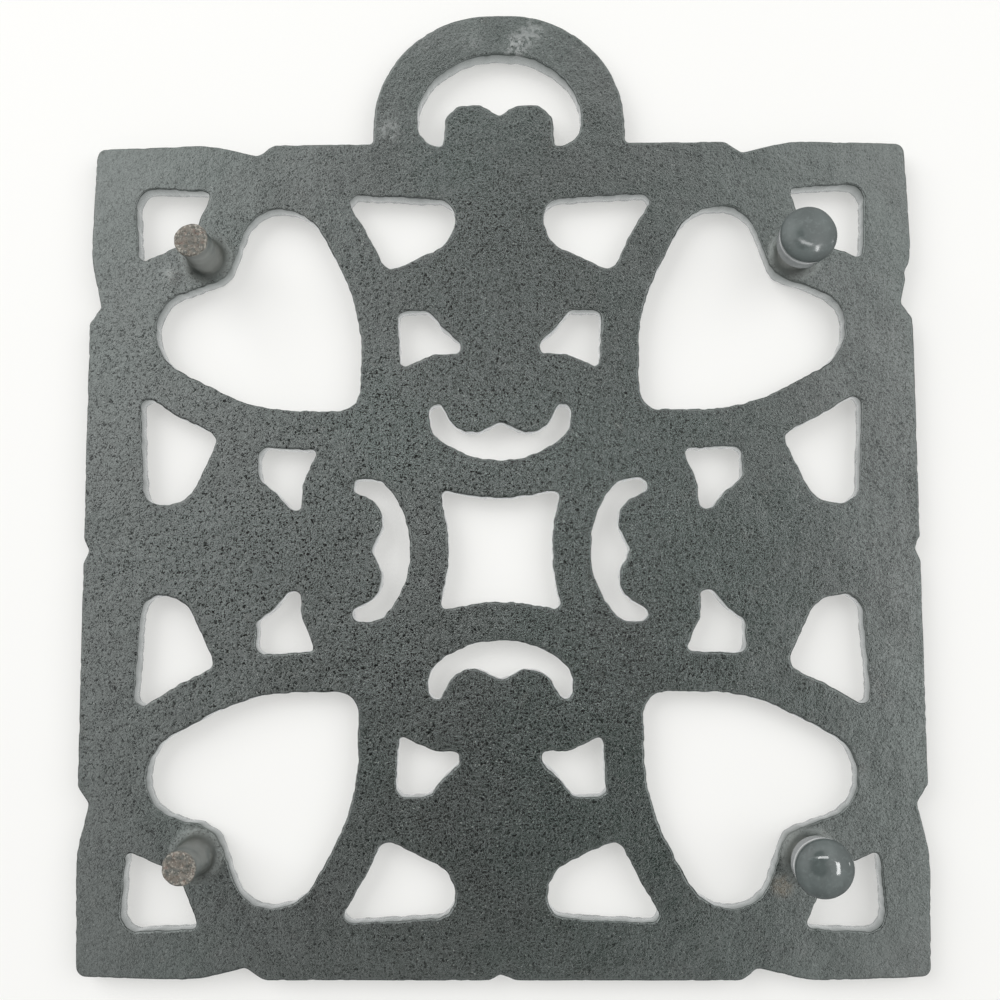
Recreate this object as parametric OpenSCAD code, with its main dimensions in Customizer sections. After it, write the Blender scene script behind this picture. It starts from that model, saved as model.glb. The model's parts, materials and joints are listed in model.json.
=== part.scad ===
// Square openwork trivet of cast iron, with a half-round hanging loop at the back,
// four legs cast in one with the plate, and rubber caps pushed over two of the legs.
// It stands on its legs with the pan face up. Lengths are in millimetres.

/* [Plate] */
// Width of the square plate, over its scalloped edges
plate_w = 165; // [156:1:176]
// Thickness of the plate and of the loop
plate_t = 5; // [4:0.5:8]
// Width of the solid rim, from the plate's edge to the corner windows
rim_w = 9; // [7.5:0.5:10.5]
// Depth of the notch on each side of a corner scallop
notch_d = 2.3; // [1:0.1:3]
// Depth of the small notch in the middle of each edge
mid_notch_d = 1.1; // [0.5:0.1:2]
// Radius of the plate's outer corners
corner_r = 2; // [1:0.1:3]
// How far each corner is drawn in from the square
corner_draw = 0.7; // [0:0.1:1.2]

/* [Hanging loop] */
// Width of the loop over its sides
loop_w = 51.2; // [48:0.1:54]
// How far the loop stands out beyond the plate's edge
loop_rise = 26.8; // [25:0.1:29]
// Width of the loop's band at its crown
loop_crown_w = 8.3; // [7:0.1:9.5]
// Width of the loop's band at its sides
loop_side_w = 9; // [8:0.1:10]
// Radius of the fillets between the loop and the plate's edge
loop_fillet_r = 0.8; // [0.3:0.1:1.5]

/* [Legs] */
// Height of a leg, from the plate's underside to the end of its peg
leg_h = 13.5; // [11:0.5:20]
// Diameter of a leg where it meets the plate
leg_base_d = 8.6; // [7.6:0.1:9.4]
// Radius of the fillet between a leg and the plate
leg_fillet_r = 0.5; // [0.2:0.1:0.8]
// Diameter of the straight peg at the end of a leg
peg_d = 6.7; // [5.6:0.1:7]
// Length of the peg
peg_l = 6; // [4:0.1:8]
// Size of the broken edge round the end of the peg
peg_edge = 0.35; // [0.1:0.05:0.6]

/* [Rubber caps] */
// Outer diameter of a cap at its foot
cap_d = 11; // [10.2:0.1:12]
// Outer diameter of a cap at its rim
cap_rim_d = 10.1; // [9.4:0.1:10.2]
// Thickness of a cap's end, under the peg
cap_end_t = 2.2; // [1.8:0.1:3.5]
// Radius round the end of a cap
cap_round_r = 1.6; // [0.8:0.1:1.8]
// Radius round the rim of a cap
cap_rim_r = 0.4; // [0.2:0.05:0.6]
// Clearance between a peg and its cap, all round
cap_fit = 0.03; // [0.01:0.01:0.08]
// Length of the straight peg that shows past a cap's rim
cap_rim_gap = 0.3; // [0.1:0.1:1]

/* [Hidden] */

// How far an outline's straight facets may lie inside its true arc, and the largest
// angle between two of an arc's points, in degrees
arc_sag = 0.04;
arc_step = 20;
// Facets of a circle that is swept or extruded
$fn = 96;
// Length by which one solid runs into the solid that carries it
overrun = plate_t / 2;

half_w = plate_w / 2;
// Half the width of the field that the openings fill, inside the rim
half_field = half_w - rim_w;
// Height of the plate's underside above the surface that the caps stand on
under_z = cap_end_t + leg_h;
// The origin is the middle of the whole outline, loop included
plate_y = -loop_rise / 2;
half_loop_w = loop_w / 2;
// Half the width of the loop's opening, and its height above the plate's edge
eye_half_w = half_loop_w - loop_side_w;
eye_rise = loop_rise - loop_crown_w;

// Place of the two notches along half an edge, as shares of half the plate's width
mid_notch_share = 0.03;
notch_share = 0.595;
shoulder_share = 0.555;
scallop_share = 0.715;
// Radii at those places, as shares of half the plate's width
mid_notch_r_share = 0.012;
notch_r_share = 0.015;
shoulder_r_share = 0.03;
scallop_r_share = 0.30;

// Distance of each leg from both centre lines
leg_share = 0.8;
leg_place = leg_share * half_field;

// Outlines of the openings. Each row is a corner: its x, its y and the radius that
// rounds it, as shares of half the field's width. Long radii make the bowed sides.

// Heart in the corner, from its point round one lobe to its cleft
heart_shares = [
    [0.378, 0.378, 0.060],
    [0.378, 0.660, 0.500],
    [0.524, 0.938, 0.130],
    [0.678, 0.938, 0.100],
    [0.746, 0.746, 0.070],
];

// Window between the heart and the corner
corner_window_shares = [
    [1.000, 1.000, 0.045],
    [0.990, 0.790, 0.016],
    [0.850, 0.850, 0.100],
    [0.790, 0.990, 0.016],
];

// Three-sided window beside the middle of an edge
side_window_shares = [
    [0.122, 0.846, 0.097],
    [0.122, 0.962, 0.052],
    [0.430, 0.978, 0.022],
    [0.362, 0.868, 0.270],
    [0.309, 0.760, 0.030],
];

// Small window further in, beside the neck of the scroll
small_window_shares = [
    [0.109, 0.534, 0.016],
    [0.109, 0.566, 0.024],
    [0.154, 0.604, 0.055],
    [0.191, 0.652, 0.024],
    [0.278, 0.652, 0.024],
    [0.270, 0.492, 0.012],
    [0.178, 0.534, 0.110],
];

// Half of the crescent round the scroll's head, from its middle out and back
crescent_shares = [
    [0.096, 0.243, 0.250],
    [0.192, 0.322, 0.070],
    [0.192, 0.395, 0.021],
    [0.160, 0.395, 0.015],
    [0.120, 0.318, 0.073],
    [0.060, 0.318, 0.045],
    [0.000, 0.348, 0.026],
];

// One waist and one corner of the window in the centre
centre_shares = [
    [0.132, 0.000, 0.450],
    [0.162, 0.162, 0.014],
];

// Half of the arch, from its side to its crown, and half of its opening, from the crown
// out and back along the scroll's head. Here x is a share of half the width of the loop or
// of its opening, y of its rise over the plate's edge, and the radius of the smaller one.
arch_shares = [
    [0.465, 1.000, 0.910],
    [1.000, 0.485, 0.910],
];
eye_shares = [
    [0.422, 1.000, 1.000],
    [1.000, 0.578, 0.740],
    [1.000, 0.000, 0.290],
    [0.680, -0.040, 0.044],
    [0.657, 0.286, 0.120],
    [0.494, 0.427, 0.143],
    [0.205, 0.427, 0.132],
    [0.000, 0.314, 0.060],
];

function unit(v) = v / norm(v);
function point(corner) = [corner[0], corner[1]];
function scaled(shares, size) = [for (row = shares) row * size];
// Shares of the loop or its opening, as places from the plate's centre
function on_edge(shares, half_width, rise) =
    [for (row = shares) [
        row[0] * half_width,
        half_w + row[1] * rise,
        row[2] * min(half_width, rise)
    ]];

// A corner's arc: points from one tangent point to the other, round a centre on the
// line that halves the corner
function corner_arc(before, corner, after) =
    let (
        p = point(corner),
        r = corner[2],
        to_before = unit(point(before) - p),
        to_after = unit(point(after) - p),
        half_angle = acos(to_before * to_after) / 2,
        centre = p + unit(to_before + to_after) * r / sin(half_angle),
        first = p + to_before * r / tan(half_angle) - centre,
        side = sign(cross(to_after, to_before)),
        sweep = side * (180 - 2 * half_angle),
        step = min(arc_step, 2 * acos(1 - min(1, arc_sag / r))),
        steps = max(1, ceil(abs(sweep) / step)),
        start = atan2(first[1], first[0])
    )
    [for (i = [0:steps]) centre + r * [cos(start + sweep * i / steps), sin(start + sweep * i / steps)]];

// A closed outline whose corners are rounded, each with its own radius
function rounded(corners) =
    let (n = len(corners))
    [for (i = [0:n - 1]) each corner_arc(corners[(i + n - 1) % n], corners[i], corners[(i + 1) % n])];

// The rows in reverse order, swapped over the diagonal or flipped over the y axis. Rows
// that lie on the mirror line stay single.
function swapped(rows) =
    [for (i = [len(rows) - 1:-1:0]) if (rows[i][0] != rows[i][1]) [rows[i][1], rows[i][0], rows[i][2]]];
function flipped(rows) =
    [for (i = [len(rows) - 1:-1:0]) if (rows[i][0] != 0) [-rows[i][0], rows[i][1], rows[i][2]]];
function turned(rows, quarter) =
    [for (row = rows) [
        cos(90 * quarter) * row[0] - sin(90 * quarter) * row[1],
        sin(90 * quarter) * row[0] + cos(90 * quarter) * row[1],
        row[2]
    ]];

// Half of an edge, from beside its middle to the corner
function half_edge() = [
    [mid_notch_share * half_w, half_w, mid_notch_r_share * half_w],
    [shoulder_share * half_w, half_w, shoulder_r_share * half_w],
    [notch_share * half_w, half_w - notch_d, notch_r_share * half_w],
    [scallop_share * half_w, half_w, scallop_r_share * half_w],
    [half_w - corner_draw, half_w - corner_draw, corner_r],
];

// Three edges have a small notch in the middle, and the back edge has the loop there
function plain_middle() = [[0, half_w - mid_notch_d, mid_notch_r_share * half_w]];
function loop_middle() =
    let (half_arch = concat(
        on_edge(arch_shares, half_loop_w, loop_rise),
        [[half_loop_w, half_w, loop_fillet_r]]
    ))
    concat(flipped(half_arch), half_arch);

// The whole outline: each edge from corner to corner, turned to its side, clockwise from
// the back. Two edges share each corner, so every edge leaves out its first row.
function edge(middle) =
    let (
        half = half_edge(),
        past_middle = middle[0][0] == 0 ? half : [for (i = [1:len(half) - 1]) half[i]],
        rows = concat(flipped(past_middle), middle, past_middle)
    )
    [for (i = [1:len(rows) - 1]) rows[i]];
function casting_outline() = concat(
    edge(loop_middle()),
    [for (quarter = [1:3]) each turned(edge(plain_middle()), -quarter)]
);

module outline(shares, size) {
    polygon(rounded(scaled(shares, size)));
}

// An outline that is its own mirror image over the y axis, given by its right half
module flipped_outline(shares, size) {
    outline(concat(shares, flipped(shares)), size);
}

// The openings of one corner and of the edge beside it
module quarter_openings() {
    outline(concat(heart_shares, swapped(heart_shares)), half_field);
    outline(corner_window_shares, half_field);
    flipped_outline(crescent_shares, half_field);
    for (side = [0, 1]) mirror([side, 0]) {
        outline(side_window_shares, half_field);
        outline(small_window_shares, half_field);
    }
}

module centre_window() {
    outline([for (quarter = [0:3]) each turned(centre_shares, quarter)], half_field);
}

module eye() {
    half_eye = on_edge(eye_shares, eye_half_w, eye_rise);
    polygon(rounded(concat(half_eye, flipped(half_eye))));
}

// The plate and its loop, flat and of one thickness
module plate() {
    linear_extrude(plate_t) difference() {
        polygon(rounded(casting_outline()));
        for (quarter = [0:3]) rotate(90 * quarter) quarter_openings();
        centre_window();
        eye();
    }
}

// A leg hangs below the plate: a fillet, then a cone that runs down into the straight
// peg, turned in one. The profile is drawn upwards from the end of the peg.
module leg() {
    base_r = leg_base_d / 2;
    peg_r = peg_d / 2;
    rotate_extrude() difference() {
        polygon([
            [0, 0],
            [peg_r - peg_edge, 0],
            [peg_r, peg_edge],
            [peg_r, peg_l],
            [base_r, leg_h - leg_fillet_r],
            [base_r + leg_fillet_r, leg_h - leg_fillet_r],
            [base_r + leg_fillet_r, leg_h],
            [base_r, leg_h],
            [base_r, leg_h + overrun],
            [0, leg_h + overrun],
        ]);
        translate([base_r + leg_fillet_r, leg_h - leg_fillet_r]) circle(r = leg_fillet_r);
    }
}

// Everything that came out of the mould in one piece
module casting() {
    color("dimgray") translate([0, plate_y, 0]) {
        translate([0, 0, under_z]) plate();
        for (x = [-1, 1], y = [-1, 1])
            translate([x * leg_place, y * leg_place, cap_end_t]) leg();
    }
}

// Half the profile of a cap: it narrows from its foot to its rim, with its end and its
// rim rounded by true arcs
module cap_profile() {
    foot_r = cap_d / 2;
    rim_r = cap_rim_d / 2;
    rim_z = cap_end_t + peg_l - cap_rim_gap;
    polygon([
        [0, 0],
        [foot_r - cap_round_r, 0],
        [foot_r - cap_round_r, cap_round_r],
        [foot_r, cap_round_r],
        [rim_r, rim_z - cap_rim_r],
        [rim_r - cap_rim_r, rim_z - cap_rim_r],
        [rim_r - cap_rim_r, rim_z],
        [0, rim_z],
    ]);
    translate([foot_r - cap_round_r, cap_round_r]) circle(r = cap_round_r);
    translate([rim_r - cap_rim_r, rim_z - cap_rim_r]) circle(r = cap_rim_r);
}

// A cap on the leg at one corner: a plain cup whose floor bears on the peg's end
module cap(x, y) {
    bore_r = peg_d / 2 + cap_fit;
    color("black") translate([x * leg_place, plate_y + y * leg_place, 0]) difference() {
        rotate_extrude() cap_profile();
        translate([0, 0, cap_end_t]) cylinder(r = bore_r, h = peg_l + overrun);
    }
}

module cap_front_left() cap(-1, -1);
module cap_back_left() cap(-1, 1);

casting();
cap_front_left();
cap_back_left();
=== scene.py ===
import json
import math

import bpy
import numpy as np
from mathutils import Matrix, Vector
from mathutils.geometry import delaunay_2d_cdt

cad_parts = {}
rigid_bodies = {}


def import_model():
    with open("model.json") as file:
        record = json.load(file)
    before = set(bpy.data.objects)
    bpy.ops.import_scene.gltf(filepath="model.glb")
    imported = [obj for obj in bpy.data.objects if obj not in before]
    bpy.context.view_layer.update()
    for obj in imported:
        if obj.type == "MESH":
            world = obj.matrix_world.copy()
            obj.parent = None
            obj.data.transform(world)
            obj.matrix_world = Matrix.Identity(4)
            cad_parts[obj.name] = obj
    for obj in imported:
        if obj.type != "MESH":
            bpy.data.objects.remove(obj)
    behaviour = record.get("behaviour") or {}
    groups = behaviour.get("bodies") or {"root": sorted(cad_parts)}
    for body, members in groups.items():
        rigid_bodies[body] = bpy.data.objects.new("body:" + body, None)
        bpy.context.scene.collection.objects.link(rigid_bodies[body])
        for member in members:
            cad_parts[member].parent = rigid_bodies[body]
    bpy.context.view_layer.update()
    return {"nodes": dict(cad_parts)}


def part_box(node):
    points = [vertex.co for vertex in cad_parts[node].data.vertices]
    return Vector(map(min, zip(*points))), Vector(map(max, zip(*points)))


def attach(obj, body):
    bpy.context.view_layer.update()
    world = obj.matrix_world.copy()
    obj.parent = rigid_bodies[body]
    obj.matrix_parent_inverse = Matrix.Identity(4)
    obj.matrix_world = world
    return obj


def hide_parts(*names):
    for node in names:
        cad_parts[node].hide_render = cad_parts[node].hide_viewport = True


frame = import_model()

# Looks of a cast iron trivet: one rough sand casting with four legs, and rubber caps
# pushed over two of them. Lengths of the trivet are in millimetres, and become metres
# when a mesh is made. Lengths of the studio are in metres. The trivet stands on its
# legs, and the camera looks up at its underside.

MM = 0.001
nodes = frame["nodes"]


def corners_of(name):
    """Lowest and highest corner of a CAD node, in millimetres."""
    low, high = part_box(name)
    return np.array(low) / MM, np.array(high) / MM


casting_low, casting_high = corners_of("casting")
cap_low, cap_high = corners_of("cap_front_left")
back_cap_low, back_cap_high = corners_of("cap_back_left")

# The casting stands on the ends of its bare pegs, a cap's end higher than the floor
peg_end_z = casting_low[2]
top_z = casting_high[2]
plate_w = casting_high[0] - casting_low[0]
cap_r = (cap_high[0] - cap_low[0]) / 2
cap_top_z = cap_high[2]
front_cap_at = (cap_low + cap_high)[:2] / 2
back_cap_at = (back_cap_low + back_cap_high)[:2] / 2
leg_x = -front_cap_at[0]
leg_axes = np.array([
    [leg_x, front_cap_at[1]],
    [leg_x, back_cap_at[1]],
    front_cap_at,
    back_cap_at,
])


# ---------------------------------------------------------------- surface of the casting


def merged(node):
    """Corners of a CAD node in millimetres, with equal ones made one, and its triangles."""
    mesh = node.data
    mesh.calc_loop_triangles()
    places = np.empty(len(mesh.vertices) * 3, np.float32)
    mesh.vertices.foreach_get("co", places)
    triangles = np.empty(len(mesh.loop_triangles) * 3, np.int32)
    mesh.loop_triangles.foreach_get("vertices", triangles)
    rounded = np.round(places.reshape(-1, 3).astype(float) / MM, 3)
    corners, which = np.unique(rounded, axis=0, return_inverse=True)
    return corners, which.ravel()[triangles].reshape(-1, 3)


def outlines(corners, triangles, level, hair=0.004):
    """Closed outlines of the flat face at one height, with the iron on their left.

    A side of a triangle lies on an outline if no other triangle of the face has it
    backwards. The sides are chained by pointer doubling: each corner looks twice as far
    ahead in every round, for the lowest corner of its own outline and for the number of
    steps to it.
    """
    flat = triangles[np.all(np.abs(corners[triangles][:, :, 2] - level) < hair, axis=1)]
    start, end = flat.ravel(), np.roll(flat, -1, axis=1).ravel()
    alone = ~np.isin(start * len(corners) + end, end * len(corners) + start)
    start, end = start[alone], end[alone]
    here = np.unique(start)
    ahead = np.empty(len(here), int)
    ahead[np.searchsorted(here, start)] = np.searchsorted(here, end)
    rounds = int(math.ceil(math.log2(len(here)))) + 1
    lowest, jump = np.arange(len(here)), ahead
    for _ in range(rounds):
        lowest, jump = np.minimum(lowest, lowest[jump]), jump[jump]
    at_lowest = lowest == np.arange(len(here))
    steps = np.where(at_lowest, 0, 1)
    jump = np.where(at_lowest, np.arange(len(here)), ahead)
    for _ in range(rounds):
        steps, jump = steps + steps[jump], jump[jump]
    order = np.lexsort((-steps, lowest))
    cuts = np.flatnonzero(np.diff(lowest[order])) + 1
    return [corners[here[part], :2] for part in np.split(order, cuts)]


def flowing(corners, fine=0.08, soft=0.2, long_step=0.62, turn_step=0.42):
    """Evenly flowing points along a closed outline, and the unit vectors into the iron.

    Cubic Hermite curves join the corners, each with the direction from the corner before
    to the corner after. The curve is sampled finely, softened by a Gaussian filter on its
    Fourier series, and then sampled again at a density of 1 / long_step + curvature /
    turn_step.
    """
    side = np.roll(corners, -1, axis=0) - corners
    length = np.linalg.norm(side, axis=1)
    heading = side + np.roll(side, 1, axis=0)
    heading = heading / np.linalg.norm(heading, axis=1)[:, None]
    run = np.concatenate([[0.0], np.cumsum(length)])
    count = int(run[-1] / fine)
    at = np.arange(count) * run[-1] / count
    k = np.clip(np.searchsorted(run, at, side="right") - 1, 0, len(corners) - 1)
    after = (k + 1) % len(corners)
    t = ((at - run[k]) / length[k])[:, None]
    reach = length[k][:, None]
    curve = (
        corners[k] * (1 + 2 * t) * (1 - t) ** 2
        + heading[k] * reach * t * (1 - t) ** 2
        + corners[after] * t ** 2 * (3 - 2 * t)
        + heading[after] * reach * t ** 2 * (t - 1)
    )
    path = np.fft.fft(curve[:, 0] + 1j * curve[:, 1])
    rate = np.fft.fftfreq(count, run[-1] / count)
    path = path * np.exp(-2 * (math.pi * rate * soft) ** 2)
    place = np.fft.ifft(path)
    speed = np.fft.ifft(path * 2j * math.pi * rate)
    bend = np.fft.ifft(path * (2j * math.pi * rate) ** 2)
    curvature = np.abs((np.conj(speed) * bend).imag) / np.abs(speed) ** 3
    density = (1 / long_step + curvature / turn_step) * run[-1] / count
    grown = np.concatenate([[0.0], np.cumsum(density)])
    points = int(math.ceil(grown[-1]))
    wanted = np.arange(points) * grown[-1] / points
    index = np.interp(wanted, grown, np.arange(count + 1))
    lower, part = index.astype(int), index - index.astype(int)
    upper = (lower + 1) % count
    place = place[lower] * (1 - part) + place[upper] * part
    inward = speed[lower] * (1 - part) + speed[upper] * part
    inward = inward / np.abs(inward) * 1j
    return np.stack([place.real, place.imag], 1), np.stack([inward.real, inward.imag], 1)


def waves(places, seed, shortest, longest, count=28, squeeze=0.75):
    """Smooth uneven field between 0 and 1 over places in space.

    A sum of sine waves with seeded directions, phases and lengths, squeezed by tanh.
    """
    draw = np.random.default_rng(seed)
    across = draw.normal(size=(count, places.shape[1]))
    across = across / np.linalg.norm(across, axis=1)[:, None]
    length = np.exp(draw.uniform(math.log(shortest), math.log(longest), count))
    turns = places @ (across * (2 * math.pi / length)[:, None]).T
    total = np.sin(turns + draw.uniform(0, 2 * math.pi, count)).sum(axis=1)
    return 0.5 + 0.5 * np.tanh(total / math.sqrt(count / 2) * squeeze)


def bell(distance, width):
    """Bell curve: e to the minus squared distance over squared width."""
    return np.exp(-((distance / width) ** 2))


def apart(places, centre):
    """Distances of places in the plane from one point."""
    return np.hypot(places[:, 0] - centre[0], places[:, 1] - centre[1])


def inside(places, loops, block_size=1500):
    """Which places lie in the iron, and how far each is from the nearest outline point.

    Even-odd rule: a place is inside if a line from it towards +X crosses the outlines an
    odd number of times. The places are taken in blocks, to save memory.
    """
    start = np.concatenate(loops)
    end = np.concatenate([np.roll(loop, -1, axis=0) for loop in loops])
    rise = end[:, 1] - start[:, 1]
    slope = (end[:, 0] - start[:, 0]) / np.where(rise == 0, 1, rise)
    odd, near = [], []
    for block in np.array_split(places, max(1, len(places) // block_size)):
        x, y = block[:, :1], block[:, 1:]
        spans = (start[:, 1] <= y) != (end[:, 1] <= y)
        crossed = spans & (start[:, 0] + (y - start[:, 1]) * slope > x)
        odd.append(crossed.sum(axis=1) % 2 == 1)
        near.append(((start[:, 0] - x) ** 2 + (start[:, 1] - y) ** 2).min(axis=1))
    return np.concatenate(odd), np.sqrt(np.concatenate(near))


def strip(first, rows, columns):
    """Quads of a closed band of rows by columns points, numbered row by row from first."""
    row = np.arange(rows - 1)[:, None] * columns
    column = np.arange(columns)[None, :]
    beside = (column + 1) % columns
    low_left, low_right = first + row + column, first + row + beside
    return np.stack([low_left, low_right, low_right + columns, low_left + columns], 2).reshape(-1, 4)


def cut_in_two(quads):
    """Two triangles for every quad."""
    return np.concatenate([quads[:, [0, 1, 2]], quads[:, [0, 2, 3]]])


def grid_over(low, high, step):
    """Points of a triangular grid over a rectangle: every other row is half a step over."""
    row_step = step * math.sqrt(0.75)
    x = np.arange(low[0], high[0], step)
    y = np.arange(low[1], high[1], row_step)
    shift = (np.arange(len(y)) % 2 * step / 2)[:, None]
    return np.stack([x + shift, np.broadcast_to(y[:, None], (len(y), len(x)))], 2).reshape(-1, 2)


def filled(loops, numbers, step, first_new):
    """Triangles of the flat face between outlines, with a fine grid of points inside it.

    The grid's points lie in the iron and half a step clear of every outline. A Delaunay
    triangulation joins them to the outlines, which stay as edges. Triangles are kept if
    they have a grid point, or if their middle is in the iron. Gives the new points and
    the triangles, anticlockwise from above.
    """
    clear_steps = 0.55
    same_place = 1e-6
    smallest_turn = 1e-9
    ring = np.concatenate(loops)
    grid = grid_over(ring.min(axis=0), ring.max(axis=0), step)
    within, near = inside(grid, loops)
    grid = grid[within & (near > step * clear_steps)]
    places = np.concatenate([ring, grid])
    starts = np.cumsum([0] + [len(loop) for loop in loops])
    edges = np.concatenate([
        np.stack([np.arange(a, b), np.roll(np.arange(a, b), -1)], 1)
        for a, b in zip(starts[:-1], starts[1:])
    ])
    points = [Vector(place) for place in places.tolist()]
    found = delaunay_2d_cdt(points, edges.tolist(), [], 0, same_place)
    source = np.array([given[0] if given else -1 for given in found[3]])
    triangles = source[np.array(found[2])]
    middle = places[triangles].mean(axis=1)
    on_ring = np.all(triangles < len(ring), axis=1)
    kept = ~on_ring
    kept[on_ring] = inside(middle[on_ring], loops)[0]
    triangles = triangles[kept & np.all(triangles >= 0, axis=1)]
    a, b, c = (places[triangles[:, i]] for i in range(3))
    turn = (b[:, 0] - a[:, 0]) * (c[:, 1] - a[:, 1]) - (b[:, 1] - a[:, 1]) * (c[:, 0] - a[:, 0])
    triangles = triangles[np.abs(turn) > smallest_turn]
    turn = turn[np.abs(turn) > smallest_turn]
    triangles = np.where((turn < 0)[:, None], triangles[:, ::-1], triangles)
    number_of = np.concatenate([np.concatenate(numbers), first_new + np.arange(len(grid))])
    return grid, number_of[triangles]


def mesh_of(name, places, faces, material):
    """A smooth mesh object at the origin, from places in millimetres and triangles."""
    mesh = bpy.data.meshes.new(name)
    mesh.vertices.add(len(places))
    mesh.vertices.foreach_set("co", (places * MM).astype(np.float32).ravel())
    mesh.loops.add(faces.size)
    mesh.loops.foreach_set("vertex_index", faces.astype(np.int32).ravel())
    mesh.polygons.add(len(faces))
    mesh.polygons.foreach_set("loop_start", np.arange(0, faces.size, 3, dtype=np.int32))
    mesh.polygons.foreach_set("use_smooth", np.ones(len(faces), bool))
    mesh.update(calc_edges=True)
    mesh.validate()
    mesh.materials.append(material)
    made = bpy.data.objects.new(name, mesh)
    bpy.context.scene.collection.objects.link(made)
    return made


# Sizes of the plate and the legs, read off the corners of the CAD casting: the
# underside is the lowest place out at the plate's sides, the peg is all that the caps
# cover, and the leg's cone is at its widest just under its own fillet. The margins keep
# the corners of other places out.
corners, triangles = merged(nodes["casting"])
corner_z = corners[:, 2]
hair = 0.01
leg_reach = 8
side_margin, top_margin, rim_margin, cone_margin = 0.5, 1, 0.2, 0.5
out_at_side = np.abs(corners[:, 0]) > plate_w / 2 - side_margin
under_z = corner_z[out_at_side & (corner_z < top_z - top_margin)].min()
plate_t = top_z - under_z
from_leg = np.min([apart(corners, axis) for axis in leg_axes], axis=0)
on_leg = (corner_z < under_z - hair) & (from_leg < leg_reach)
peg_r = from_leg[on_leg & (corner_z < cap_top_z - rim_margin)].max()
peg_top_z = corner_z[on_leg & (from_leg < peg_r + 2 * hair)].max()
on_fillet = on_leg & (corner_z > peg_top_z + cone_margin)
fillet_low_z = corner_z[on_fillet].min()
leg_base_r = from_leg[on_fillet & (corner_z < fillet_low_z + 2 * hair)].max()

# Radii that the mould leaves on the plate's edges, and the fillet round a leg
edge_under = 0.3
edge_top = 0.8
fillet_w = 1.5
fillet_h = 0.9
leg_columns = 60
# Nearer to an axis than this, places aren't moved sideways
still_r = 1.0

# Flaws that this casting has: an end of flash in one heart, a chip in the edge, a
# raised spot where the sand had a hole, a tan rust spot by a capped leg, and pale
# scuffs on the hanging loop
flash_at, flash_depth, flash_reach = np.array([58.7, -65.9]), 0.7, 1.6
chip_at, chip_depth, chip_reach = np.array([-81.1, 42.2]), 0.75, 1.1
spot_at, spot_h, spot_reach = np.array([65.9, 41.9]), 0.3, 1.3
tan_spot_at = (-53.9, -78.2)
scuffs_at = ((-3.6, 89.5), (-6.6, 92.2), (5.5, 90.5), (22.4, 71.8))
scuff_strengths = (0.9, 0.6, 0.25, 0.5)
# The cast skin is roughest round this place, and smoother towards the edge and the loop
rough_middle = (35.0, -14.0)


def sunk(places):
    """How far the rough face lies inside the true one: a slow swell and a fine sand."""
    swell_depth, sand_depth = 0.10, 0.045
    swell = waves(places, seed=11, shortest=9, longest=45) * swell_depth
    sand = waves(places, seed=12, shortest=2.2, longest=5, count=40) * sand_depth
    return swell + sand


def fillet_at(places):
    """Height of the fillet round the legs: a parabola from its foot up to the leg."""
    reach = np.min([apart(places, axis) for axis in leg_axes], axis=0)
    share = np.clip(1 - (reach - leg_base_r) / fillet_w, 0, 1)
    return fillet_h * share ** 2


def wall_section():
    """Rows of the edge's section, from the underside to the top.

    Each row is a share of the lower edge's radius, a share of the upper edge's radius
    that it lies inside the outline, and the same two for its height, then the share of
    the straight wall that lies below it. The rounded edges are quarter circles, and the
    first row lies beside the lower one on the flat face.
    """
    turn = np.radians([0, 45, 90])
    beside = (1.5, 0, 0, 0, 0)
    lower = [(1 - math.sin(a), 0, 1 - math.cos(a), 0, 0) for a in turn]
    wall = [(0, 0, 1, 0, 0.5)]
    upper = [(0, 1 - math.sin(a), 1, 1 - math.cos(a), 1) for a in turn[::-1]]
    return np.array([beside] + lower + wall + upper)


def casting_walls():
    """Edges of the plate, the loop and every opening: the section carried along them.

    A row lies inside the outline by its share of the edges' radii plus the wall's
    waviness, and the waves are drawn out in height. The outer edge stays a little inside
    its outline. Gives the places, the triangles, and both faces' outlines.
    """
    drawn_out = (1, 1, 0.25)
    swell_depth, rough_depth, least_inside = 0.14, 0.25, 0.025
    low_in, high_in, low_up, high_down, up_wall = np.split(wall_section(), 5, axis=1)
    rows = len(up_wall)
    places, faces, under, top = [], [], [], []
    for outline in outlines(corners, triangles, top_z):
        line, inward = flowing(outline)
        outer = np.ptp(outline[:, 0]) > plate_w / 2
        first = sum(len(p) for p in places)
        space = np.column_stack([line, np.zeros(len(line))])
        low_r = edge_under * (0.75 + 0.6 * waves(space, seed=21, shortest=5, longest=18))
        high_r = edge_top * (0.85 + 0.3 * waves(space, seed=22, shortest=6, longest=25))
        in_by = low_in * low_r + high_in * high_r
        straight = plate_t - low_r - high_r
        below_edge = under_z + low_up * low_r + up_wall * straight
        height = np.where(up_wall < 1, below_edge, top_z - high_down * high_r)
        spread = np.stack([
            np.broadcast_to(line[:, 0], height.shape),
            np.broadcast_to(line[:, 1], height.shape),
            height,
        ], 2)
        flat = spread.reshape(-1, 3) * drawn_out
        swell = waves(flat, seed=23, shortest=4, longest=16) - 0.5
        rough = waves(flat, seed=24, shortest=1.4, longest=3.5, count=40) - 0.5
        wavy = (swell * swell_depth + rough * rough_depth).reshape(height.shape)
        wavy = np.maximum(wavy, least_inside) if outer else wavy
        chip = chip_depth * bell(apart(line, chip_at), chip_reach) * (up_wall < 0.5)
        flash = flash_depth * bell(apart(line, flash_at), flash_reach)
        spread[:, :, :2] += inward * (in_by + wavy + chip - flash)[:, :, None]
        places.append(spread.reshape(-1, 3))
        faces.append(strip(first, rows, len(line)))
        last = first + (rows - 1) * len(line)
        under.append((spread[0, :, :2], first + np.arange(len(line))))
        top.append((spread[-1, :, :2], last + np.arange(len(line))))
    return np.concatenate(places), cut_in_two(np.concatenate(faces)), under, top


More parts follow.
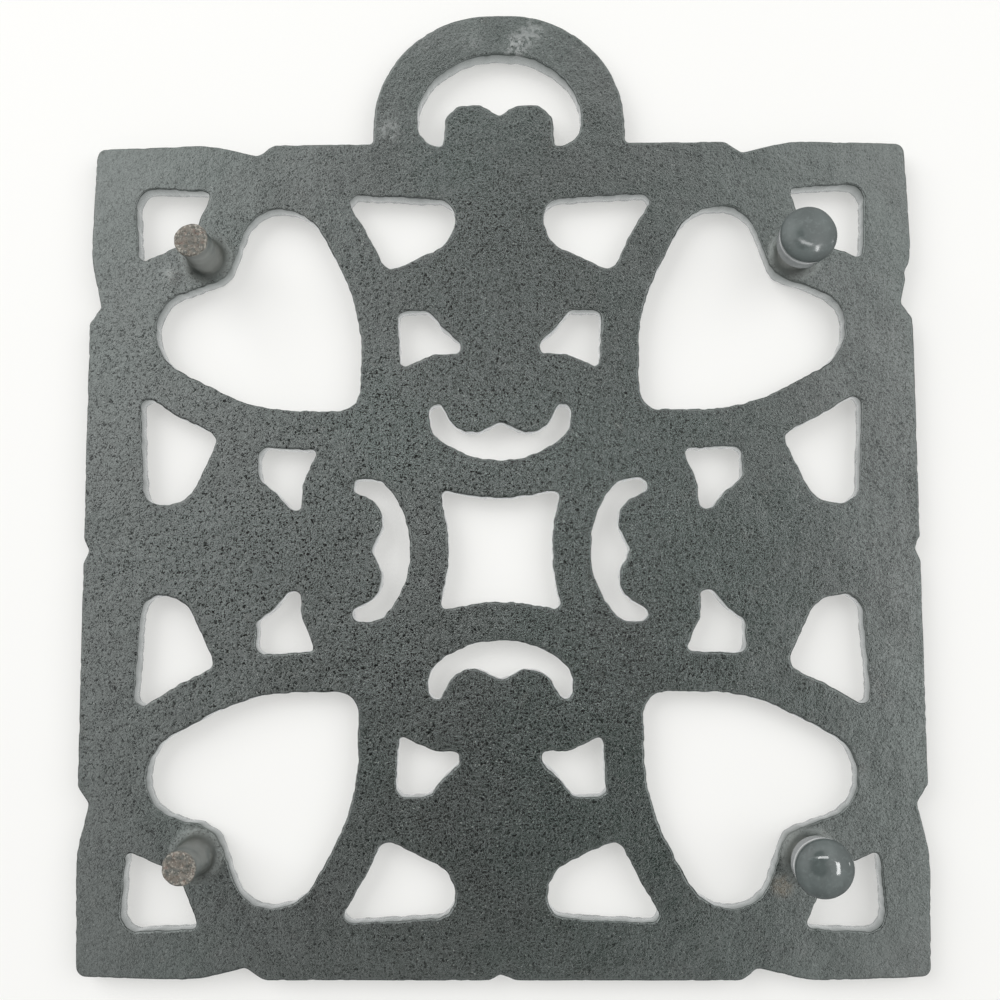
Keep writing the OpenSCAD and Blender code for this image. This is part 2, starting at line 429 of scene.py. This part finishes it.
def leg_profile():
    """Radius and height down a leg, from its base ring to the middle of its end.

    A cone from the plate to the straight peg, and the peg's broken edge, which is a
    quarter circle in a few steps.
    """
    cone_rows, peg_rows, end_rows = 12, 10, 7
    broken = 0.3
    middle_r = 0.35
    turn = np.radians([0, 30, 60, 90])
    share = np.linspace(0, 1, cone_rows)[:, None]
    base = np.array([leg_base_r, under_z - fillet_h])
    cone = base * (1 - share) + np.array([peg_r, peg_top_z]) * share
    peg_foot = peg_end_z + broken
    heights = np.linspace(peg_top_z, peg_foot, peg_rows)[1:-1]
    side = np.column_stack([np.full(len(heights), peg_r), heights])
    foot = np.column_stack([
        peg_r - broken + broken * np.cos(turn),
        peg_foot - broken * np.sin(turn),
    ])
    end_r = np.linspace(peg_r - broken, middle_r, end_rows)[1:]
    end = np.column_stack([end_r, np.full(len(end_r), peg_end_z)])
    return np.concatenate([cone, side, foot, end])


def spun(profile, columns):
    """Radii and heights of a profile of such pairs, once for every column round an axis."""
    radius = np.broadcast_to(profile[:, :1], (len(profile), columns))
    return radius, np.broadcast_to(profile[:, 1:], radius.shape)


def around(axis, radius, height):
    """Places round an upright axis: axis + radius * (cos, sin) of the column's angle."""
    columns = radius.shape[1]
    angle = np.arange(columns) * 2 * math.pi / columns
    across = np.stack([np.cos(angle), np.sin(angle)], 1)
    places = np.concatenate([axis + radius[:, :, None] * across[None], height[:, :, None]], 2)
    return places.reshape(-1, 3)


def leg_surface(axis, seed):
    """One leg: its profile turned round its axis, roughened inwards only.

    The roughness grows from nothing at the foot of the fillet, and the end of the peg is
    worn unevenly. The last place is the pole that closes the end.
    """
    rough_depth, swell_depth, worn_depth = 0.16, 0.14, 0.28
    rough_below = 1.5
    end_h = 0.6
    profile = leg_profile()
    radius, height = spun(profile, leg_columns)
    flat = around(axis, radius, height)
    rough = waves(flat, seed, shortest=1.2, longest=7, count=40) * rough_depth
    swell = waves(flat, seed + 1, shortest=6, longest=14) * swell_depth
    inwards = (rough + swell).reshape(radius.shape)
    inwards = inwards * np.clip((under_z - fillet_h - height) / rough_below, 0, 1)
    worn = waves(flat, seed + 2, shortest=0.9, longest=3, count=48).reshape(radius.shape)
    worn = np.where(height < peg_end_z + end_h, worn * worn_depth, 0)
    radius = radius - np.where(radius > still_r, inwards, 0)
    height = height + worn
    pole = np.array([[axis[0], axis[1], height[-1].mean()]])
    return np.concatenate([around(axis, radius, height), pole]), len(profile)


def build_casting(material):
    """The whole casting: walls along every outline, both faces filled, and four legs."""
    under_step, top_step = 1.15, 1.5
    leg_seed, seeds_per_leg = 40, 5
    places, faces, under, top = casting_walls()
    parts, all_faces = [places], [faces]
    total = len(places)
    ring_loops, ring_numbers = [], []
    for i, axis in enumerate(leg_axes):
        leg, rows = leg_surface(axis, leg_seed + seeds_per_leg * i)
        skin = cut_in_two(strip(total, rows, leg_columns))[:, ::-1]
        last = total + (rows - 1) * leg_columns + np.arange(leg_columns)
        pole = np.full(leg_columns, total + rows * leg_columns)
        cover = np.stack([last, pole, np.roll(last, -1)], 1)
        all_faces += [skin, cover]
        parts.append(leg)
        ring_loops.append(leg[:leg_columns, :2])
        ring_numbers.append(total + np.arange(leg_columns))
        total += len(leg)
    under_loops = [loop for loop, _ in under] + ring_loops
    under_numbers = [numbers for _, numbers in under] + ring_numbers
    grid, flat = filled(under_loops, under_numbers, under_step, total)
    parts.append(np.column_stack([grid, np.full(len(grid), under_z)]))
    all_faces.append(flat[:, ::-1])
    total += len(grid)
    top_loops, top_numbers = [loop for loop, _ in top], [numbers for _, numbers in top]
    grid, flat = filled(top_loops, top_numbers, top_step, total)
    parts.append(np.column_stack([grid, np.full(len(grid), top_z)]))
    all_faces.append(flat)
    places = np.concatenate(parts)
    # The plate's faces sink into the iron by the roughness, and its underside stands out
    # with the fillets and the spot, which is flat in its middle. The roughness changes
    # slowly with height. A leg's own points already stand where they belong.
    spot_flat, slowly = 1.3, 0.3
    level = np.clip((places[:, 2] - under_z) / plate_t, 0, 1)
    plate = places[:, 2] > under_z - hair
    in_plane = places[:, :2]
    spot = spot_h * np.clip(spot_flat - apart(in_plane, spot_at) / spot_reach, 0, 1)
    shift = sunk(np.column_stack([in_plane, places[:, 2] * slowly])) * (1 - 2 * level)
    shift = shift - (fillet_at(in_plane) + spot) * (1 - level)
    places[:, 2] += np.where(plate, shift, 0)
    return mesh_of("iron_casting", places, np.concatenate(all_faces), material)


# ---------------------------------------------------------------- rubber caps


def build_cap(name, axis, material, seed):
    """A rubber cup: its section turned round the leg's axis, slightly uneven.

    The section runs from the middle of the domed end, which is a superellipse, up the
    tapered side, over the rounded rim and down the bore to the middle of its floor.
    """
    columns = 112
    dome_rows, side_rows, bore_rows, outer_lip_rows = 20, 9, 7, 4
    bore_gap, taper = 0.03, 0.45
    bore_r, rim_r = peg_r + bore_gap, cap_r - taper
    dome_h, bulge, rim_round, mouth_round = 2.3, 2.3, 0.4, 0.2
    uneven_depth, dent_depth = 0.12, 0.14
    turn = np.radians([0, 15, 30, 45, 60, 75, 90])
    floor_z = peg_end_z
    share = np.sin(np.linspace(0.04, 0.5 * math.pi, dome_rows))
    dome = np.column_stack([cap_r * share, dome_h * (1 - (1 - share ** bulge) ** (1 / bulge))])
    side_t = np.linspace(0, 1, side_rows)[1:-1]
    lip_r, lip_z = rim_r - rim_round, cap_top_z - rim_round
    side = np.column_stack([
        cap_r + (rim_r - cap_r) * side_t,
        dome_h + (lip_z - dome_h) * side_t,
    ])
    lip = np.column_stack([lip_r + rim_round * np.cos(turn), lip_z + rim_round * np.sin(turn)])
    mouth = np.array([
        [bore_r + mouth_round, cap_top_z],
        [bore_r + 0.05, cap_top_z - 0.06],
        [bore_r, cap_top_z - mouth_round],
    ])
    bore_z = np.linspace(cap_top_z - mouth_round, floor_z, bore_rows)[1:]
    bore = np.column_stack([np.full(len(bore_z), bore_r), bore_z])
    bottom = np.array([[bore_r * 0.5, floor_z], [0.3, floor_z]])
    profile = np.concatenate([dome, side, lip, mouth, bore, bottom])
    radius, height = spun(profile, columns)
    outer_rows = len(dome) + len(side) + outer_lip_rows
    outer = (np.arange(len(profile)) < outer_rows)[:, None]
    flat = around(axis, radius, height)
    uneven = waves(flat, seed, shortest=5, longest=15).reshape(radius.shape) * uneven_depth
    dent = waves(flat, seed + 1, shortest=4, longest=12).reshape(radius.shape) * dent_depth
    low = height < dome_h
    radius = radius - np.where(outer & (radius > still_r), uneven, 0)
    height = height + np.where(outer & low, dent * (1 - height / dome_h), 0)
    rows = len(profile)
    poles = np.array([[*axis, height[0].mean()], [*axis, floor_z]])
    places = np.concatenate([around(axis, radius, height), poles])
    ring = np.arange(columns)
    first = rows * columns
    last = (rows - 1) * columns + ring
    faces = np.concatenate([
        cut_in_two(strip(0, rows, columns)),
        np.stack([np.full(columns, first), np.roll(ring, -1), ring], 1),
        np.stack([np.full(columns, first + 1), last, np.roll(last, -1)], 1),
    ])
    return mesh_of(name, places, faces, material)


# ---------------------------------------------------------------- finishes


class Wire:
    """An output socket of a finish. Sums with wires and numbers add their Math nodes."""

    def __init__(self, finish, socket):
        self.finish = finish
        self.socket = socket

    def _math(self, operation, first, second):
        return self.finish.node("Math", {"operation": operation}, {0: first, 1: second})

    def __add__(self, other):
        return self._math("ADD", self, other)

    def __sub__(self, other):
        return self._math("SUBTRACT", self, other)

    def __rsub__(self, other):
        return self._math("SUBTRACT", other, self)

    def __mul__(self, other):
        return self._math("MULTIPLY", self, other)

    def __pow__(self, other):
        return self._math("POWER", self, other)

    __radd__ = __add__
    __rmul__ = __mul__


class Finish:
    """A material or a world that is put together from nodes."""

    def __init__(self, owner):
        owner.use_nodes = True
        self.owner = owner
        self.tree = owner.node_tree
        self.tree.nodes.clear()

    def node(self, kind, settings=None, sockets=None, output=None):
        """Adds a node: settings first, then the values or wires of its sockets.

        A socket has a name or a number, and output names the one that is wired on. With
        no name it is the first that the settings leave in use.
        """
        made = self.tree.nodes.new("ShaderNode" + kind)
        for name, value in (settings or {}).items():
            setattr(made, name, value)
        for name, value in (sockets or {}).items():
            if isinstance(name, int):
                socket = made.inputs[name]
            else:
                socket = next(s for s in made.inputs if s.name == name and s.enabled)
            if isinstance(value, Wire):
                self.tree.links.new(value.socket, socket)
            elif socket.type == "RGBA":
                socket.default_value = (*value, 1)
            else:
                socket.default_value = value
        in_use = (s for s in made.outputs if s.enabled)
        return Wire(self, next(s for s in in_use if output in (None, s.name)))

    def place(self):
        """Object coordinates in millimetres."""
        spot = self.node("TexCoord", output="Object")
        return self.node("VectorMath", {"operation": "SCALE"}, {"Vector": spot, "Scale": 1 / MM})

    def noise(self, place, size, detail=2.0, rough=0.5, warp=0.0):
        """Noise from 0 to 1 whose lumps are about size millimetres across."""
        return self.node("TexNoise", None, {
            "Vector": place,
            "Scale": 1 / size,
            "Detail": detail,
            "Roughness": rough,
            "Distortion": warp,
        })

    def step(self, value, low, high):
        """0 below low, 1 above high, and a smooth rise between them."""
        sockets = {"Value": value, "From Min": low, "From Max": high}
        return self.node("MapRange", {"interpolation_type": "SMOOTHSTEP"}, sockets)

    def blend(self, mask, first, second):
        """The first colour where the mask is 0 and the second where it is 1."""
        sockets = {"Factor": mask, "A": first, "B": second}
        return self.node("Mix", {"data_type": "RGBA"}, sockets)

    def near(self, place, centre, inner, outer):
        """1 within inner millimetres of a point, and 0 past outer."""
        gap = self.node("VectorMath", {"operation": "DISTANCE"}, {0: place, 1: centre})
        return 1 - self.step(gap, inner, outer)

    def along(self, place, axis):
        """One coordinate of a place or direction: X, Y or Z."""
        return self.node("SeparateXYZ", None, {0: place}, axis)

    def specks(self, place, size, fill):
        """1 inside scattered soft specks: fill is their radius as a share of a cell.

        The cells are about size millimetres wide, with one speck in each.
        """
        cells = {"Vector": place, "Scale": 1 / size, "Randomness": 1.0}
        reach = self.node("TexVoronoi", {"feature": "F1"}, cells)
        return 1 - self.step(reach, fill * 0.6, fill)

    def lamp_seen(self, towards, direction, degrees, strength):
        """A round soft lamp in one direction: half strength so many degrees from it."""
        aim = tuple(Vector(direction).normalized())
        sockets = {0: towards, 1: aim}
        facing = self.node("VectorMath", {"operation": "DOT_PRODUCT"}, sockets)
        rim = math.cos(math.radians(degrees * 1.3))
        core = math.cos(math.radians(degrees * 0.7))
        return self.step(facing, rim, core) * strength

    def skin(self, sockets):
        """The shader, joined to the output, with the values or wires of its sockets."""
        shader = self.node("BsdfPrincipled", None, sockets)
        self.node_out(shader)
        return self.owner

    def node_out(self, shader, kind="OutputMaterial"):
        """Joins a shader to the output of the material or the world."""
        out = self.tree.nodes.new("ShaderNode" + kind)
        self.tree.links.new(shader.socket, out.inputs["Surface"])


# Colours of the casting in linear red, green and blue, and how much of one shows where
# its mask is full
green_black = (0.010, 0.020, 0.015)
grey_black = (0.017, 0.021, 0.018)
patch_grey, patch_share = (0.018, 0.025, 0.022), 0.5
grain_grey, grain_share = (0.036, 0.044, 0.039), 0.38
# Painted shade for the pits of the grain
pit_shade_black, pit_shade_share = (0.004, 0.005, 0.004), 0.80
old_rust, old_rust_share = (0.065, 0.040, 0.028), 0.4
# Painted glints: small pale specks on the iron
glint_grey, glint_share = (0.22, 0.23, 0.21), 0.4
dark_crust = (0.070, 0.068, 0.057)
brown_crust = (0.150, 0.125, 0.100)
red_rust, red_share = (0.200, 0.115, 0.088), 0.5
# Painted glints on the rims of the bare pegs
rim_glint_pale, rim_glint_share = (0.40, 0.37, 0.32), 0.7
# Partly rust stain, partly painted light on the legs and the feet of their fillets
leg_stain_and_light, stain_and_light_share = (0.115, 0.116, 0.102), 0.8
tan_rust, tan_share = (0.17, 0.130, 0.080), 0.6
# Painted light and highlight on the raised spot
spot_painted_light, spot_light_share = (0.16, 0.16, 0.15), 0.5
scuff_grey = (0.24, 0.25, 0.245)
iron_sheen = (0.94, 1.0, 0.98)


def peg_rust(make, mm, crust):
    """Colour of a bare peg's end: brown crust, red patches, and pale flecks that are painted glints,
    thickest on its rim.
    """
    tone = make.blend(make.step(crust, 0.38, 0.62), dark_crust, brown_crust)
    blots = make.noise(mm, size=0.9, detail=3, rough=0.6, warp=0.5)
    tone = make.blend(make.step(blots, 0.56, 0.66) * red_share, tone, red_rust)
    middle = 0
    for axis in leg_axes[:2]:
        middle = middle + make.near(mm, (*axis, peg_end_z), peg_r - 1.2, peg_r - 0.4)
    # Painted glints: pale flecks, fewer in the middle of the end than on its rim
    dots = make.noise(mm, size=0.42, detail=3, rough=0.6)
    rim_glints = make.step(dots - middle * 0.09, 0.50, 0.56)
    return make.blend(rim_glints * rim_glint_share, tone, rim_glint_pale)


def cast_iron():
    """Dark sand-cast iron with a dull sheen, leathery grain, and rust where it was bare."""
    make = Finish(bpy.data.materials.new("cast_iron"))
    mm = make.place()
    broad = make.noise(mm, size=34, detail=3)
    patch = make.noise(mm, size=7, detail=4, rough=0.6)
    grain = make.noise(mm, size=0.46, detail=2, rough=0.55, warp=1.2)
    coarse = make.noise(mm, size=1.3, detail=2, rough=0.5, warp=0.8)
    crust = make.noise(mm, size=1.2, detail=4, rough=0.65)
    stains = make.noise(mm, size=4.2, detail=5, rough=0.65, warp=0.4)
    colour = make.blend(make.step(broad, 0.40, 0.60), green_black, grey_black)
    colour = make.blend(make.step(patch, 0.42, 0.70) * patch_share, colour, patch_grey)
    # How rough the cast skin is from place to place, the palest grain, and the pits of the grain,
    # which are darkened with painted shade.
    # The edges' upright walls are smoother than the faces.
    on_plate = make.near(mm, (0, rough_middle[1], under_z), 85, 112)
    rugged = 0.5 + 0.4 * on_plate + 1.1 * make.near(mm, (*rough_middle, under_z), 5, 110)
    raised = make.step(grain, 0.52, 0.68)
    colour = make.blend(raised * grain_share * rugged, colour, grain_grey)
    upright = make.along(make.node("TexCoord", output="Normal"), "Z")
    face = make.step(upright * upright, 0.15, 0.75)
    # Painted shade: the colour darkens in the pits of the grain, on the faces only
    pits = make.step(grain, 0.50, 0.34) * face
    colour = make.blend(pits * pit_shade_share * rugged, colour, pit_shade_black)
    rusty = make.step(stains, 0.60, 0.74) * make.step(grain, 0.45, 0.65)
    colour = make.blend(rusty * old_rust_share, colour, old_rust)
    # Painted glints: small pale specks over part of the iron
    bright = make.specks(mm, size=1.1, fill=0.15) * make.step(patch, 0.38, 0.52)
    colour = make.blend(bright * glint_share, colour, glint_grey)
    # The ends of the pegs are bare iron with brown rust, and the legs are stained by it. The legs'
    # lighter tone, which reaches onto the feet of the fillets, is partly that stain and partly
    # painted light on their shaded sides and the dark band round each foot.
    height = make.along(mm, "Z")
    peg_end = 1 - make.step(height, peg_end_z + 0.35, peg_end_z + 0.75)
    on_leg = 1 - make.step(height, under_z - 2.5, under_z - 0.4)
    for axis in leg_axes:
        foot = make.near(mm, (*axis, under_z), leg_base_r - 0.5, leg_base_r + fillet_w + 2)
        on_leg = on_leg + foot * (1 - on_leg) * 0.55
    # Partly stain, partly painted light: the legs and the fillet feet are made lighter
    stained_and_lit = on_leg * make.step(patch, 0.30, 0.55)
    colour = make.blend(stained_and_lit * stain_and_light_share, colour, leg_stain_and_light)
    colour = make.blend(peg_end, colour, peg_rust(make, mm, crust))
    # The flaws that show by their colour, and painted light on the raised spot, which is made paler
    # over its top and sides
    tan = make.near(mm, (*tan_spot_at, under_z), 0.4, 3.0) * make.step(coarse, 0.20, 0.60)
    colour = make.blend(tan * tan_share, colour, tan_rust)
    # Painted light: the raised spot is made paler, as a highlight on its top
    pale = make.near(mm, (*spot_at, under_z), 0.8, 2.4) * make.step(coarse, 0.35, 0.55)
    colour = make.blend(pale * spot_light_share, colour, spot_painted_light)
    for place, strength in zip(scuffs_at, scuff_strengths):
        scuff = make.near(mm, (*place, under_z), 0.8, 3.9) * make.step(crust, 0.44, 0.56)
        colour = make.blend(scuff * strength, colour, scuff_grey)
    relief = grain + coarse * 0.9
    rough = 0.13 + 0.08 * patch + 0.32 * on_leg + 0.10 * peg_end + 0.10 * (1 - face)
    metal = 1 - (1 - pits * 0.48 * rugged) * (1 - on_leg * 0.30)
    depth = (0.010 + 0.036 * face * (0.5 + 0.5 * rugged)) * MM
    bump = make.node("Bump", None, {"Strength": 1.0, "Distance": depth, "Height": relief})
    return make.skin({
        "Base Color": colour,
        "Roughness": rough,
        "Metallic": metal,
        "Normal": bump,
        "IOR": 2.4,
        "Specular Tint": iron_sheen,
    })


def rubber(name, tone, dull, cloud_size):
    """Worn black rubber, slightly greyed by dust on its smooth skin, and dull at its rim."""
    make = Finish(bpy.data.materials.new(name))
    mm = make.place()
    dust = make.noise(mm, size=0.8, detail=3, rough=0.6)
    cloud = make.noise(mm, cloud_size, detail=3, rough=0.55)
    deep = tuple(0.8 * v for v in tone)
    pale = tuple(1.25 * v for v in tone)
    colour = make.blend(make.step(cloud, 0.35, 0.65), deep, tone)
    colour = make.blend(make.step(dust, 0.50, 0.72) * 0.6, colour, pale)
    skirt = make.step(make.along(mm, "Z"), 2.4, 4.0)
    rough = dull + dull * 0.8 * make.step(cloud, 0.4, 0.7) + 0.35 * skirt
    relief = dust * 0.5 + make.noise(mm, size=0.3) * 0.5
    depth = 0.05 * dull * MM
    bump = make.node("Bump", None, {"Strength": 0.6, "Distance": depth, "Height": relief})
    return make.skin({"Base Color": colour, "Roughness": rough, "Normal": bump, "IOR": 1.5})


iron = cast_iron()
casting = build_casting(iron)
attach(casting, "trivet")
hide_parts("casting")

front_black = (0.090, 0.107, 0.104)
back_black = (0.095, 0.112, 0.109)
front_rubber = rubber("rubber_front", front_black, dull=0.06, cloud_size=4.0)
front_cap = build_cap("front_rubber_cap", front_cap_at, front_rubber, seed=71)
back_rubber = rubber("rubber_back", back_black, dull=0.16, cloud_size=4.7)
back_cap = build_cap("back_rubber_cap", back_cap_at, back_rubber, seed=81)
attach(front_cap, "front_cap")
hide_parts("cap_front_left")
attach(back_cap, "back_cap")
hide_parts("cap_back_left")


# ---------------------------------------------------------------- camera, floor and light

scene = bpy.context.scene
scene.view_settings.view_transform = "Standard"

# Eye, aim and roll fitted to the plate's edges and the legs in the photograph
eye_at = Vector((-3.05, -25.45, -230.26)) * MM
aim_at = Vector((0.02, -3.61, 15.70)) * MM
camera_roll = math.radians(0.177)
look = (aim_at - eye_at).normalized()
level_up = (Vector((0, 1, 0)) - look * look.y).normalized()
upward = level_up * math.cos(camera_roll) + look.cross(level_up) * math.sin(camera_roll)
rightward = look.cross(upward)
lens_data = bpy.data.cameras.new("camera")
lens_data.lens = 45.0
lens_data.sensor_width = 36.0
lens_data.clip_start = 0.005
lens_data.clip_end = 50
camera = bpy.data.objects.new("camera", lens_data)
turned = Matrix((rightward, upward, -look)).transposed().to_4x4()
camera.matrix_world = Matrix.Translation(eye_at) @ turned
scene.collection.objects.link(camera)
scene.camera = camera


def sheet(name, half, height, material):
    """A square level sheet that belongs to the studio, half metres from middle to side."""
    mesh = bpy.data.meshes.new(name)
    signs = ((-1, -1), (1, -1), (1, 1), (-1, 1))
    ring = [(half * x, half * y, height) for x, y in signs]
    mesh.from_pydata(ring, [], [(0, 1, 2, 3)])
    mesh.materials.append(material)
    made = bpy.data.objects.new(name, mesh)
    scene.collection.objects.link(made)
    return made


def one_sided(name, colour, shown_from_above, glow):
    """A plain pale studio surface that glows a little, and is seen from one side only."""
    make = Finish(bpy.data.materials.new(name))
    behind = make.node("NewGeometry", output="Backfacing")
    skin = make.node("BsdfPrincipled", None, {"Base Color": colour, "Roughness": 0.6})
    lit = make.node("Emission", None, {"Color": warm_white, "Strength": glow})
    skin = make.node("AddShader", None, {0: skin, 1: lit})
    clear = make.node("BsdfTransparent")
    first, second = (skin, clear) if shown_from_above else (clear, skin)
    make.node_out(make.node("MixShader", None, {0: behind, 1: first, 2: second}))
    return make.owner


def camera_only(sheet_object):
    """The sheet is seen and takes shadows, but lights and shades nothing."""
    sheet_object.visible_diffuse = False
    sheet_object.visible_glossy = False
    sheet_object.visible_transmission = False
    sheet_object.visible_shadow = False


# Two sheets stand in for the pale top that the trivet lies on: the floor under the caps
# is seen from above, and the table over the pan face is seen from below, through the
# openings. The floor gives way when a cap is pulled off.
warm_white = (1, 0.995, 0.97)
floor_grey = (0.42, 0.42, 0.41)
table_grey = (0.52, 0.52, 0.51)
sheet_half = 3.0
table_gap = 0.00005
floor_finish = one_sided("floor", floor_grey, shown_from_above=True, glow=0.45)
floor = sheet("floor", sheet_half, 0.0, floor_finish)
camera_only(floor)
for body in ("front_cap", "back_cap"):
    under_cap = floor.constraints.new("FLOOR")
    under_cap.name = "stays_under_" + body
    under_cap.target = bpy.data.objects["body:" + body]
    under_cap.floor_location = "FLOOR_NEGATIVE_Z"
table_finish = one_sided("table", table_grey, shown_from_above=False, glow=0.41)
table = sheet("table", sheet_half, top_z * MM + table_gap, table_finish)
camera_only(table)


def area_lamp(name, at, size, power):
    """A square soft lamp that points at the trivet and isn't mirrored by it."""
    data = bpy.data.lights.new(name, "AREA")
    data.size = size
    data.energy = power
    lamp = bpy.data.objects.new(name, data)
    lamp.location = at
    lamp.rotation_mode = "QUATERNION"
    lamp.rotation_quaternion = (-Vector(at)).to_track_quat("-Z", "Y")
    lamp.visible_glossy = False
    scene.collection.objects.link(lamp)
    return lamp


area_lamp("lamp_below_left", (0.9, 0.7, -1.0), size=1.2, power=15)
area_lamp("lamp_below_right", (-0.9, 0.3, -1.1), size=1.2, power=9)
area_lamp("lamp_above", (-0.5, -0.7, 1.4), size=1.2, power=22)


def window_on_caps(name, direction, wide, high, bright):
    """A bright window far off that only the caps mirror, its sizes in degrees from them.

    Its power is its brightness times pi times its area.
    """
    far = 2.5
    middle = Vector((*front_cap_at + back_cap_at, 0)) * MM / 2
    width, height = far * math.radians(wide), far * math.radians(high)
    away = Vector(direction).normalized()
    lamp = area_lamp(name, middle + away * far, width, bright * math.pi * width * height)
    level = (Vector((1, 0, 0)) - away * away.x).normalized()
    turned = Matrix((level, away.cross(level), away)).transposed()
    lamp.rotation_quaternion = turned.to_quaternion()
    lamp.data.shape = "RECTANGLE"
    lamp.data.size_y = height
    lamp.visible_glossy = True
    lamp.light_linking.receiver_collection = only_caps


only_caps = bpy.data.collections.new("caps")
only_caps.objects.link(front_cap)
only_caps.objects.link(back_cap)
window_on_caps("window_wide", (-0.15, 0.06, -1.0), wide=18, high=5, bright=11.0)
window_on_caps("window_tall", (-0.535, -0.16, -1.0), wide=7, high=18, bright=15.0)


def studio_world():
    """A pale room: white where it is seen, weaker as light, and uneven where mirrored."""
    matt_light, seen_white, window_glow, doorway_glow = 0.42, 0.94, 2.6, 0.40
    make = Finish(bpy.data.worlds.new("studio"))
    scene.world = make.owner
    towards = make.node("TexCoord", output="Generated")
    across, along, height = (make.along(towards, axis) for axis in "XYZ")
    seen = make.node("LightPath", output="Is Camera Ray")
    mirrored = make.node("LightPath", output="Is Glossy Ray")

    def oval(at, reach, lean=0.0):
        """1 in the middle of a soft oval shape in the room, and 0 outside it."""
        aside = across - at[0]
        beyond = along - at[1] - aside * lean
        out_by = (aside * (1 / reach[0])) ** 2 + (beyond * (1 / reach[1])) ** 2
        return 1 - make.step(out_by, 0.25, 1.0)

    # The lower half of the room, which the underside mirrors: brighter towards the loop,
    # with soft dark shapes round its middle, one bright window between them, a pale
    # doorway at one side and a small lamp low beyond it. It gets dimmer further out.
    board = oval((0.012, -0.125), (0.255, 0.205))
    lamp_shade = oval((0.00, 0.265), (0.22, 0.195))
    shelf = oval((-0.172, 0.035), (0.19, 0.12), -0.4)
    chair = oval((0.18, 0.01), (0.18, 0.10))
    window = oval((0.02, 0.098), (0.13, 0.068))
    doorway = oval((-0.38, 0.00), (0.16, 0.30))
    far = make.step(across ** 2 + along ** 2, 0.30, 0.80)
    rise = make.step(along, -0.6, 0.6)
    side = make.step(across ** 2, 0.075, 0.11)
    low = 0.61 + 0.82 * rise + 0.9 * across * (rise - 0.5) + 0.30 * side
    low = low * (1 - board) * (1 - lamp_shade) * (1 - shelf)
    low = low * (1 - 0.65 * chair) * (1 - 0.35 * far)
    low = low + window_glow * window + doorway_glow * doorway
    low = low + make.lamp_seen(towards, (-0.93, 0.00, -0.36), degrees=3.0, strength=8.0)
    # The upper half, which the pan face mirrors, is brightest overhead
    high = 0.50 + 0.90 * make.step(height, 0.45, 0.85)
    glossy = high + make.step(height * -1, -0.15, 0.15) * (low - high)
    strength = matt_light + mirrored * (glossy - matt_light)
    strength = strength + seen * (seen_white - strength)
    light = make.node("Background", None, {"Color": (1, 1, 1), "Strength": strength})
    make.node_out(light, "OutputWorld")


studio_world()
